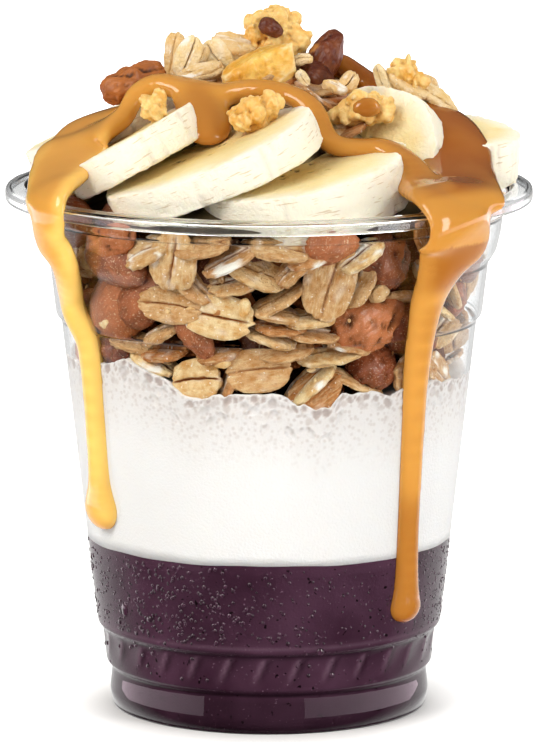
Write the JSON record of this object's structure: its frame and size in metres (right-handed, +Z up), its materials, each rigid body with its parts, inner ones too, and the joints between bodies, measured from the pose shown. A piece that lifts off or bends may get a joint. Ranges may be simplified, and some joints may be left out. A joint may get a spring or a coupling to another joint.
{
  "type": "acai cup",
  "caption": "Clear tumbler layered with acai, cream and granola, heaped with banana slices, nuts and granola clusters under poured caramel that drips down the outside.",
  "frame": {"origin": "centre of the cup's foot, on the surface it stands on", "axes": "+Z up along the cup's axis, -Y towards the viewer, +X to the viewer's right"},
  "size_m": [0.098, 0.098, 0.1315],
  "materials": {
    "clear_plastic": "clear, thermoformed, glossy",
    "acai_puree": "thick frozen puree, slightly moist",
    "cream_foam": "whipped, soft and matt",
    "granola_mix": "toasted oats and nuts, dry with a light honey gloss",
    "caramel_sauce": "thick syrup, wet gloss",
    "banana_flesh": "cut fruit, moist satin",
    "toasted_cluster": "baked, crumbly, light honey gloss",
    "golden_chip": "crisp baked chip, honey glazed",
    "roasted_nut": "roasted nut skin, satin"
  },
  "bodies": {
    "root": {"cup": "clear_plastic", "acai": "acai_puree", "cream": "cream_foam", "granola": "granola_mix", "caramel": "caramel_sauce", "banana_left": "banana_flesh", "banana_front_left": "banana_flesh", "banana_front_right": "banana_flesh", "banana_right": "banana_flesh", "banana_rim_right": "banana_flesh", "banana_rim_left": "banana_flesh", "banana_back_left": "banana_flesh", "banana_back_right": "banana_flesh", "crown_cluster": "toasted_cluster", "oat_cluster": "toasted_cluster", "standing_oats": "toasted_cluster", "left_cluster": "toasted_cluster", "middle_cluster": "toasted_cluster", "right_cluster": "toasted_cluster", "oat_pecan_cluster": "toasted_cluster", "back_cluster": "toasted_cluster", "golden_chip": "golden_chip", "back_chip": "golden_chip", "crown_almond": "roasted_nut", "dark_nut": "roasted_nut", "left_pecan": "roasted_nut", "back_almond": "roasted_nut"}
  },
  "joints": []
}
